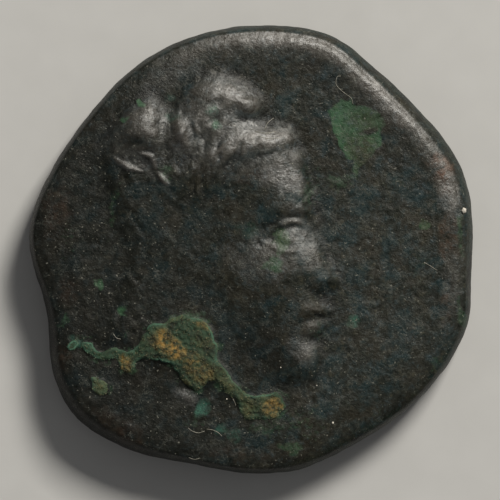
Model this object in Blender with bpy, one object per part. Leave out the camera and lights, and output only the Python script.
"""A worn ancient bronze coin that lies on its reverse, with a head in profile on its upper face.

Units are metres and +Z is up. The origin is the middle of the underside. Seen from above with +Y at the top, the
head faces +X. The coin is one solid: both struck faces, the side between them and the crust grown on the metal.
"""

from math import cos, pi, radians, sin

import bmesh
import bpy
import numpy as np

# The flan, which is the blank that the coin was struck on
FLAN_LENGTH = 0.0200
FLAN_WIDTH = 0.0198
FLAN_THICKNESS = 0.0029
GIRTH_LEVEL = 0.0010
SHOULDER_INSET = 0.00034
FOOT_INSET = 0.00045

# The lip round the obverse, and the roll down to its worn side
LIP_HEIGHT = 0.00020
LIP_CREST = 0.00035
LIP_WIDTH = 0.0019
EDGE_ROUNDING = 0.00007
EDGE_WIDTH = 0.0005
ROLL_DEPTH = 0.00040
ROLL_WIDTH = 0.0022

# Where each is fullest, and how far it reaches either way, as bearings in degrees
LIP_BEARINGS = (62, 75)
LESSER_LIP_BEARINGS = (350, 50)
ROLL_BEARINGS = (305, 65)
LESSER_ROLL_BEARINGS = (165, 60)
BULGE_BEARINGS = (222, 45)
LESSER_BULGE_BEARINGS = (30, 70)

# The head on the obverse. HEAD_RELIEF is the level of the cheek over the field. What would stand over WORN_LEVEL
# times that is worn down to it.
HEAD_HEIGHT = 0.0128
HEAD_RELIEF = 0.00052
BROW_FORWARD = 0.00265
CHIN_BELOW = 0.00595
WORN_LEVEL = 1.62
WEAR_BLUR = 0.00012

# The crust of corrosion along the cut of the neck
CRUST_HEIGHT = 0.00016
CRUST_SLOPE = 0.00022

# The ear of barley on the reverse, in a field sunk below a worn band
REVERSE_SINKING = 0.00020
REVERSE_BAND = 0.0008
BARLEY_LENGTH = 0.0130
BARLEY_WIDTH = 0.0060
BARLEY_RELIEF = 0.00034
GRAIN_PAIRS = 6

# The mesh: squares across each face before thinning, rings down the side, and the share of triangles kept
FACE_SQUARES = 160
SIDE_RINGS = 6
TRIANGLES_KEPT = 0.083
WELD_DISTANCE = 0.000001

# The flan's outline: bearing in degrees, and distance from the middle as a share of half the length
FLAN_OUTLINE = (
    (0, 0.984), (20, 1.005), (40, 0.972), (56, 0.980), (70, 1.020), (88, 1.001), (115, 0.977),
    (140, 0.942), (158, 0.958), (175, 0.992), (192, 0.951), (201, 0.966), (212, 1.038), (224, 1.076),
    (240, 1.034), (256, 0.986), (280, 0.997), (300, 0.977), (322, 1.001), (341, 1.017), (351, 0.989),
)

# Outlines in the head. Each point is (ahead of the brow, above the chin) as a share of the head's height.
FACE_OUTLINE = (
    (-0.045, 0.820), (-0.012, 0.740), (0.004, 0.660), (0.012, 0.600), (0.014, 0.555), (0.036, 0.490),
    (0.068, 0.420), (0.098, 0.365), (0.092, 0.335), (0.048, 0.318), (0.040, 0.290), (0.062, 0.262),
    (0.058, 0.236), (0.036, 0.226), (0.052, 0.208), (0.048, 0.182), (0.020, 0.158), (0.034, 0.115),
    (0.030, 0.060), (0.000, 0.015), (-0.060, 0.000), (-0.150, 0.020), (-0.250, 0.075), (-0.315, 0.160),
    (-0.360, 0.280), (-0.480, 0.340), (-0.600, 0.420), (-0.650, 0.600), (-0.580, 0.820), (-0.350, 0.950),
)
NECK_OUTLINE = (
    (-0.051, 0.059), (-0.137, -0.012), (-0.148, -0.051), (-0.100, -0.098), (-0.191, -0.109),
    (-0.332, -0.047), (-0.457, 0.016), (-0.574, 0.059), (-0.676, 0.105), (-0.665, 0.230),
    (-0.600, 0.400), (-0.441, 0.504), (-0.207, 0.348), (-0.090, 0.184),
)
HAIR_OUTLINE = (
    (-0.062, 0.785), (-0.040, 0.835), (-0.062, 0.888), (-0.115, 0.905), (-0.160, 0.915), (-0.150, 0.960),
    (-0.180, 1.012), (-0.255, 1.058), (-0.345, 1.080), (-0.425, 1.045), (-0.488, 0.961), (-0.559, 1.000),
    (-0.660, 0.957), (-0.723, 0.855), (-0.725, 0.730), (-0.690, 0.600),
    (-0.655, 0.480), (-0.660, 0.350), (-0.715, 0.245), (-0.755, 0.165), (-0.690, 0.110), (-0.590, 0.125),
    (-0.530, 0.210), (-0.480, 0.340), (-0.434, 0.480), (-0.387, 0.590), (-0.301, 0.676), (-0.184, 0.715),
    (-0.082, 0.746),
)

# Rows of locks: roots from and to, tips from and to, how many, bow, half width and height
LOCK_ROWS = (
    ((-0.050, 0.790), (-0.340, 0.690), (-0.110, 0.900), (-0.420, 0.860), 6, 0.050, 0.044, 0.20),
    ((-0.160, 0.910), (-0.360, 0.850), (-0.190, 1.000), (-0.440, 1.000), 5, 0.040, 0.042, 0.16),
    ((-0.350, 0.730), (-0.441, 0.512), (-0.613, 0.730), (-0.645, 0.434), 4, 0.062, 0.050, 0.12),
    ((-0.460, 0.496), (-0.500, 0.260), (-0.676, 0.360), (-0.650, 0.150), 4, 0.050, 0.052, 0.12),
)

# Thick rolls under the locks: points along each, half width and height
HAIR_ROLLS = (
    (((-0.050, 0.835), (-0.120, 0.850), (-0.210, 0.843), (-0.319, 0.790), (-0.380, 0.730)), 0.068, 0.46),
    (((-0.165, 0.940), (-0.230, 0.985), (-0.310, 1.010), (-0.390, 1.000)), 0.080, 0.30),
    (((-0.470, 0.925), (-0.450, 0.870), (-0.416, 0.795)), 0.042, 0.70),
)
HAIR_BUNCH = ((-0.575, 0.900), (0.130, 0.090))
HAIR_PARTING = ((-0.460, 1.040), (-0.500, 0.930), (-0.510, 0.840), (-0.490, 0.740))

# Hollows between the rolls: middle, half sizes, turn in degrees and height
HAIR_HOLLOWS = (
    (-0.372, 0.850, 0.030, 0.050, -30, -0.50), (-0.330, 0.920, 0.035, 0.060, 20, -0.20),
    (-0.215, 0.905, 0.070, 0.026, 10, -0.12),
)

# Lumps of crust as shares of half the flan's length: middle, half sizes, and turn in degrees
CRUST_LUMPS = (
    (-0.38, -0.40, 0.15, 0.13, 20), (-0.24, -0.40, 0.16, 0.19, -10), (-0.25, -0.56, 0.14, 0.12, -30),
    (-0.09, -0.63, 0.16, 0.07, -50), (0.06, -0.70, 0.16, 0.08, 0), (-0.53, -0.47, 0.12, 0.07, -20),
    (-0.68, -0.43, 0.12, 0.05, -32),
)


def smooth_step(share):
    """Eases a value up from 0 to 1, and stays level beyond both."""
    share = np.clip(share, 0, 1)
    return share * share * (3 - 2 * share)


def smooth_max(a, b, blend):
    """The higher of two surfaces, with a fillet where they meet."""
    share = np.clip(0.5 + 0.5 * (a - b) / blend, 0, 1)
    return b + (a - b) * share + 0.5 * blend * share * (1 - share)


def swell(bearing, middle, half_width):
    """1 at one bearing in degrees, and falling smoothly to 0 half_width degrees away from it."""
    away = np.abs((bearing - middle + 180) % 360 - 180)
    return np.cos(pi / 2 * np.clip(away / half_width, 0, 1)) ** 2


def curve_through(points, closed=False, steps=8):
    """Points along a Catmull-Rom curve through the given ones."""
    given = np.array(points, float)
    if closed:
        given = np.vstack([given[-1], given, given[:2]])
    else:
        given = np.vstack([2 * given[0] - given[1], given, 2 * given[-1] - given[-2]])
    before, here, after, later = given[:-3, None], given[1:-2, None], given[2:-1, None], given[3:, None]
    t = (np.arange(steps) / steps)[None, :, None]
    run = here + 0.5 * (after - before) * t
    run = run + 0.5 * (2 * before - 5 * here + 4 * after - later) * t**2
    run = run + 0.5 * (3 * here - before - 3 * after + later) * t**3
    return np.vstack([run.reshape(-1, 2), given[-2]])


def from_curve(x, y, curve):
    """Distance to a curve, how far along it the nearest point is from 0 to 1, and the side: 1 is its left."""
    nearest = np.full(x.shape, np.inf)
    along = np.zeros(x.shape)
    side = np.zeros(x.shape)
    for i, (start, end) in enumerate(zip(curve[:-1], curve[1:])):
        run = end - start
        share = np.clip(((x - start[0]) * run[0] + (y - start[1]) * run[1]) / (run @ run), 0, 1)
        off_x = x - start[0] - share * run[0]
        off_y = y - start[1] - share * run[1]
        distance = np.hypot(off_x, off_y)
        closer = distance < nearest
        nearest = np.where(closer, distance, nearest)
        along = np.where(closer, (i + share) / (len(curve) - 1), along)
        side = np.where(closer, np.sign(run[0] * off_y - run[1] * off_x), side)
    return nearest, along, side


def depth_inside(x, y, outline):
    """How far each point lies inside a smooth closed outline, negative outside it."""
    curve = curve_through(outline, closed=True)
    distance = from_curve(x, y, curve)[0]
    inside = np.zeros(x.shape, bool)
    for start, end in zip(curve[:-1], curve[1:]):
        if start[1] == end[1]:
            continue
        crosses_at = start[0] + (y - start[1]) / (end[1] - start[1]) * (end[0] - start[0])
        inside ^= ((start[1] > y) != (end[1] > y)) & (x < crosses_at)
    return np.where(inside, distance, -distance)


def pillow(depth, height, width):
    """A form that swells up from its outline and is level once it is width inside."""
    share = np.clip(depth / width, 0, 1)
    return height * share * (2 - share)


def dome(x, y, middle, half_size, turn, height, power=2.0):
    """An oval mound, or a hollow where the height is negative."""
    off_x = x - middle[0]
    off_y = y - middle[1]
    lengthwise = (off_x * cos(radians(turn)) + off_y * sin(radians(turn))) / half_size[0]
    crosswise = (off_y * cos(radians(turn)) - off_x * sin(radians(turn))) / half_size[1]
    return height * np.clip(1 - lengthwise**2 - crosswise**2, 0, 1) ** power


def stroke(x, y, points, half_width, height):
    """A ridge along a curve that thins to both ends, or a groove where the height is negative."""
    distance, along, _ = from_curve(x, y, curve_through(points))
    fullness = np.sqrt(np.clip(2 * np.minimum(along, 1 - along), 0, 1))
    across = distance / (half_width * np.maximum(fullness, 0.25))
    return height * fullness * np.clip(1 - across**2, 0, 1) ** 2


def lock(x, y, root, bend, tip, half_width, height):
    """A tapering lock of hair along a bent line, combed into two strands."""
    t = np.linspace(0, 1, 10)[:, None]
    curve = (1 - t) ** 2 * root + 2 * t * (1 - t) * bend + t**2 * tip
    distance, along, side = from_curve(x, y, curve)
    taper = 0.55 + 0.45 * np.sin(pi * np.clip(0.85 * along + 0.12, 0, 1))
    across = distance / (half_width * taper)
    body = np.clip(1 - across**2, 0, 1) ** 0.7
    comb = 0.5 + 0.5 * np.cos(2 * pi * across * side)
    return height * (0.75 + 0.25 * np.sin(pi * along)) * body * (1 - 0.3 * comb)


def uneven(index, kind):
    """A fixed number from -1 to 1 that looks random, to vary what repeats."""
    value = sin(12.9898 * (index + 1) + 78.233 * (kind + 1)) * 43758.5453
    return 2 * (value % 1) - 1


def face_forms(a, b):
    """The broad forms of the face: brow, socket, cheek, chin and the wing of the nose, on the usual thirds."""
    relief = dome(a, b, (-0.170, 0.370), (0.203, 0.180), 25, 0.24)
    relief += dome(a, b, (-0.100, 0.700), (0.172, 0.133), 0, 0.15)
    relief += dome(a, b, (-0.030, 0.080), (0.100, 0.075), 0, 0.16)
    relief += dome(a, b, (-0.080, 0.520), (0.130, 0.080), 8, -0.50, power=1.4)
    relief += stroke(a, b, ((0.005, 0.580), (-0.060, 0.610), (-0.130, 0.600), (-0.200, 0.565)), 0.045, 0.26)
    return relief + dome(a, b, (0.030, 0.350), (0.044, 0.036), 0, 0.18)


def eye_relief(a, b):
    """An eye seen from the side: the ball between its two lids."""
    relief = dome(a, b, (-0.070, 0.508), (0.064, 0.040), 8, 0.36, power=0.9)
    upper_lid = ((-0.012, 0.532), (-0.055, 0.560), (-0.110, 0.545), (-0.180, 0.495))
    lower_lid = ((-0.020, 0.478), (-0.065, 0.460), (-0.120, 0.470), (-0.175, 0.497))
    relief = np.maximum(relief, stroke(a, b, upper_lid, 0.019, 0.42))
    return np.maximum(relief, stroke(a, b, lower_lid, 0.016, 0.30))


def mouth_relief(a, b):
    """Two full closed lips with the line between them, the nostril, and the hollow under the lower lip."""
    relief = dome(a, b, (0.014, 0.252), (0.070, 0.028), -10, 0.22)
    relief += dome(a, b, (0.008, 0.196), (0.060, 0.030), 8, 0.22)
    relief += stroke(a, b, ((0.080, 0.228), (0.030, 0.226), (-0.010, 0.219), (-0.052, 0.206)), 0.016, -0.26)
    relief += stroke(a, b, ((0.004, 0.384), (-0.012, 0.352), (0.000, 0.322), (0.036, 0.316)), 0.018, -0.20)
    return relief + dome(a, b, (0.000, 0.150), (0.060, 0.024), 0, -0.14)


def lock_row(a, b, kind, roots_from, roots_to, tips_from, tips_to, count, bow, half_width, height):
    """Locks side by side, each a little different in place, size and height."""
    row = np.zeros(a.shape)
    for i in range(count):
        share = (i + 0.5) / count
        root = np.array(roots_from) * (1 - share) + np.array(roots_to) * share
        tip = np.array(tips_from) * (1 - share) + np.array(tips_to) * share
        root += 0.016 * np.array([uneven(i, kind), uneven(i, kind + 9)])
        tip += 0.032 * np.array([uneven(i, kind + 3), uneven(i, kind + 5)])
        run = tip - root
        bend = (root + tip) / 2 + bow * np.array([run[1], -run[0]]) / np.hypot(*run)
        width = half_width * (1 + 0.20 * uneven(i, kind + 7))
        tallness = height * (1 + 0.30 * uneven(i, kind + 11))
        row = smooth_max(row, lock(a, b, root, bend, tip, width, tallness), 0.08)
    return row


def hair_relief(a, b):
    """What stands on the level of the hair: two rolls over the brow, a bunch behind, and locks to the nape."""
    relief = np.zeros(a.shape)
    for points, half_width, height in HAIR_ROLLS:
        relief = smooth_max(relief, stroke(a, b, points, half_width, height), 0.12)
    relief = smooth_max(relief, dome(a, b, *HAIR_BUNCH, -20, 0.30, power=0.8), 0.12)
    for kind, row in enumerate(LOCK_ROWS, start=1):
        relief = relief + 0.75 * lock_row(a, b, kind, *row)
    for across, up, half_long, half_wide, turn, height in HAIR_HOLLOWS:
        relief += dome(a, b, (across, up), (half_long, half_wide), turn, height)
    return relief + stroke(a, b, HAIR_PARTING, 0.055, -0.50)


def strike_strength(a, b):
    """How fully the die filled and the wear spared each place: least at the nape and the neck."""
    front = smooth_step((a + 0.45 * b + 0.22) / 0.40)
    crown = smooth_step((b - 0.70) / 0.20)
    return 0.45 + 0.55 * np.maximum(front, crown)


def head_relief(x, y):
    """Height of the struck head above the field, in metres."""
    a = (x - BROW_FORWARD) / HEAD_HEIGHT
    b = (y + CHIN_BELOW) / HEAD_HEIGHT
    face_depth = depth_inside(a, b, FACE_OUTLINE)
    hair_depth = depth_inside(a, b, HAIR_OUTLINE)
    head = smooth_max(pillow(face_depth, 1.0, 0.140), pillow(hair_depth, 0.85, 0.150), 0.10)
    features = face_forms(a, b) + eye_relief(a, b) + mouth_relief(a, b)
    head += features * np.clip(face_depth / 0.02, 0, 1)
    neck = pillow(depth_inside(a, b, NECK_OUTLINE), 0.68, 0.100)
    neck += stroke(a, b, ((-0.457, 0.262), (-0.363, 0.105), (-0.230, -0.066)), 0.055, 0.14)
    bust = smooth_max(head, neck, 0.16)
    thickness = 0.06 + 0.12 * smooth_step((b - 0.45) / 0.3)
    bust += thickness * pillow(hair_depth, 1.0, 0.080) + hair_relief(a, b) * np.clip(hair_depth / 0.05, 0, 1)
    struck = WORN_LEVEL - smooth_max(WORN_LEVEL - bust, np.zeros(x.shape), 0.30)
    return HEAD_RELIEF * struck * strike_strength(a, b)


def crust_relief(x, y):
    """Height of the crust above what it grew on, in metres."""
    half = FLAN_LENGTH / 2
    depth = np.full(x.shape, -np.inf)
    for across, up, half_long, half_wide, turn in CRUST_LUMPS:
        lump = dome(x / half, y / half, (across, up), (half_long, half_wide), turn, half * half_wide, power=1.0)
        depth = np.maximum(depth, lump)
    return pillow(depth, CRUST_HEIGHT, CRUST_SLOPE)


def barley_relief(x, y):
    """An ear of barley with its awns and one bent leaf, in metres."""
    across = x / BARLEY_WIDTH
    up = y / BARLEY_LENGTH
    stalk = ((0.02, -0.50), (-0.02, -0.30), (0.00, 0.00), (0.00, 0.42))
    leaf = ((0.00, -0.36), (-0.22, -0.22), (-0.55, -0.24))
    ear = smooth_max(stroke(across, up, stalk, 0.07, 0.9), stroke(across, up, leaf, 0.06, 0.8), 0.10)
    for pair in range(GRAIN_PAIRS):
        level = -0.12 + 0.46 * pair / (GRAIN_PAIRS - 1)
        for side in (-1, 1):
            grain = (0.13 * side * BARLEY_WIDTH, level * BARLEY_LENGTH)
            half_size = (0.060 * BARLEY_LENGTH, 0.075 * BARLEY_WIDTH)
            ear = smooth_max(ear, dome(x, y, grain, half_size, 90 - 18 * side, 1.0, power=0.8), 0.05)
            awn = ((0.18 * side, level + 0.06), (0.34 * side, level + 0.13), (0.46 * side, level + 0.22))
            ear = smooth_max(ear, stroke(across, up, awn, 0.030, 0.7), 0.10)
    return BARLEY_RELIEF * ear


def edge_distance(bearing):
    """Distance from the middle to the flan's edge, as a share of half its length."""
    outline = [(b + turn, share) for turn in (-360, 0, 360) for b, share in FLAN_OUTLINE]
    curve = curve_through(outline)
    return np.interp(bearing % 360, curve[:, 0], curve[:, 1])


def on_edge(bearing, inset):
    """Place of the flan's edge at each bearing, drawn in by an inset, with the flan's box round the origin."""
    every = np.radians(np.arange(0.0, 360.0, 0.5))
    reach = edge_distance(np.degrees(every))
    place = []
    for turn, size in ((0, FLAN_WIDTH), (pi / 2, FLAN_LENGTH)):
        extent = reach * np.cos(every - turn)
        middle = (extent.max() + extent.min()) / 2
        drawn = edge_distance(bearing) - inset * 2 / FLAN_LENGTH
        place.append((drawn * np.cos(np.radians(bearing) - turn) - middle) * size / np.ptp(extent))
    return place


def shoulder_inset(bearing):
    """How far the obverse stays inside the girth. The side leans out most at the lower left."""
    bulge = 0.9 * swell(bearing, *BULGE_BEARINGS) + 0.5 * swell(bearing, *LESSER_BULGE_BEARINGS)
    return SHOULDER_INSET * (1 + bulge)


def lip_profile(from_edge):
    """The lip's short rise from the edge to its crest and its long fall to the field, from 0 to 1."""
    rise = 0.35 + 0.65 * smooth_step(from_edge / LIP_CREST)
    return rise * (1 - smooth_step((from_edge - LIP_CREST) / LIP_WIDTH))


def lip_fullness(bearing):
    return 0.04 + 0.96 * swell(bearing, *LIP_BEARINGS) + 0.40 * swell(bearing, *LESSER_LIP_BEARINGS)


def obverse_height(out, bearing, x, y):
    """Height of the obverse over the table. out is the share of the way out to its edge."""
    from_edge = (1 - out) * FLAN_LENGTH / 2
    lip = LIP_HEIGHT * lip_fullness(bearing) * lip_profile(from_edge)
    rolled = swell(bearing, *ROLL_BEARINGS) + 0.35 * swell(bearing, *LESSER_ROLL_BEARINGS)
    roll = ROLL_DEPTH * rolled * np.clip(1 - from_edge / ROLL_WIDTH, 0, 1) ** 2
    rounding = EDGE_ROUNDING * (1 - smooth_step(from_edge / EDGE_WIDTH))
    head = head_relief(x, y) * smooth_step(from_edge / LIP_WIDTH)
    return FLAN_THICKNESS + lip - roll - rounding + soften(head + crust_relief(x, y))


def reverse_height(out, x, y):
    """Height of the reverse over the table. Its band and its high points are worn flat at zero."""
    from_edge = (1 - out) * FLAN_LENGTH / 2
    share = np.clip((from_edge - REVERSE_BAND) / REVERSE_BAND, 0, 1)
    return np.maximum(soften(REVERSE_SINKING * smooth_step(share) - barley_relief(x, y) * share), 0)


def soften(heights):
    """Blurs a square grid of heights by WEAR_BLUR. One pass each way spreads them by 0.7 of a square."""
    passes = max(1, round((WEAR_BLUR / (0.7 * FLAN_LENGTH / (len(heights) - 1))) ** 2))
    for _ in range(2 * passes):
        padded = np.pad(heights, ((1, 1), (0, 0)), mode="edge")
        heights = (0.25 * (padded[:-2] + padded[2:]) + 0.5 * heights).T
    return heights


def round_grid():
    """A square grid drawn out to a round one: the share of the way out and the bearing of each point."""
    line = np.linspace(-1, 1, FACE_SQUARES + 1)
    u, v = np.meshgrid(line, line)
    out = np.maximum(np.abs(u), np.abs(v))
    steepness = 45 / np.maximum(out, 1e-9)
    sectors = [u == out, v == out, u == -out]
    bearing = np.select(sectors, [steepness * v, 90 - steepness * u, 180 - steepness * v], 270 + steepness * u)
    return out, bearing % 360


def rim_of(grid):
    """The values round the rim of a square grid, anticlockwise from one corner and back to it."""
    return np.concatenate([grid[0, :-1], grid[:-1, -1], grid[-1, :0:-1], grid[:0:-1, 0], grid[0, :1]])


def add_sheet(bm, x, y, z):
    """Adds a grid of squares whose corners are at the points of three arrays."""
    rows, columns = (count - 1 for count in x.shape)
    made = bmesh.ops.create_grid(bm, x_segments=columns, y_segments=rows, size=1.0)
    for vert in made["verts"]:
        column = round((vert.co.x + 1) / 2 * columns)
        row = round((vert.co.y + 1) / 2 * rows)
        vert.co = (x[row, column], y[row, column], z[row, column])


def add_obverse(bm):
    """Adds the obverse and returns the heights round its rim."""
    out, bearing = round_grid()
    edge_x, edge_y = on_edge(bearing, shoulder_inset(bearing))
    heights = obverse_height(out, bearing, edge_x * out, edge_y * out)
    add_sheet(bm, edge_x * out, edge_y * out, heights)
    return rim_of(heights)


def add_reverse(bm):
    out, bearing = round_grid()
    edge_x, edge_y = on_edge(bearing, FOOT_INSET)
    heights = reverse_height(out, edge_x * out, edge_y * out)
    add_sheet(bm, *((grid * out)[:, ::-1] for grid in (edge_x, edge_y)), heights[:, ::-1])


def add_side(bm, rim_heights):
    """Adds the side: out from the foot to the girth, then up and in to the shoulder."""
    bearing = rim_of(round_grid()[1])
    rings = []
    for turn in np.linspace(-90, 90, SIDE_RINGS + 1):
        rise = sin(radians(turn))
        level = np.where(rise > 0, rim_heights - GIRTH_LEVEL, GIRTH_LEVEL)
        rounded = 1 - cos(radians(turn))
        inset = np.where(rise > 0, shoulder_inset(bearing) * (rounded + rise**2) / 2, FOOT_INSET * rounded)
        rings.append((*on_edge(bearing, inset), GIRTH_LEVEL + level * rise))
    add_sheet(bm, *(np.stack(values) for values in zip(*rings)))


def bronze():
    material = bpy.data.materials.new("bronze_patina")
    material.use_nodes = True
    shader = material.node_tree.nodes["Principled BSDF"]
    shader.inputs["Base Color"].default_value = (0.040, 0.042, 0.036, 1)
    shader.inputs["Roughness"].default_value = 0.50
    shader.inputs["Metallic"].default_value = 0.35
    return material


def add_coin(collection):
    bm = bmesh.new()
    rim_heights = add_obverse(bm)
    add_reverse(bm)
    add_side(bm, rim_heights)
    bmesh.ops.remove_doubles(bm, verts=bm.verts, dist=WELD_DISTANCE)
    mesh = bpy.data.meshes.new("coin")
    bm.to_mesh(mesh)
    bm.free()
    mesh.materials.append(bronze())
    mesh.shade_smooth()
    mesh.set_sharp_from_angle(angle=radians(40))
    coin = bpy.data.objects.new("coin", mesh)
    collection.objects.link(coin)
    thinning = coin.modifiers.new("Thinning", "DECIMATE")
    thinning.ratio = TRIANGLES_KEPT


def main():
    for thing in list(bpy.data.objects):
        bpy.data.objects.remove(thing, do_unlink=True)
    collection = bpy.data.collections.new("bronze_coin")
    bpy.context.scene.collection.children.link(collection)
    add_coin(collection)


main()
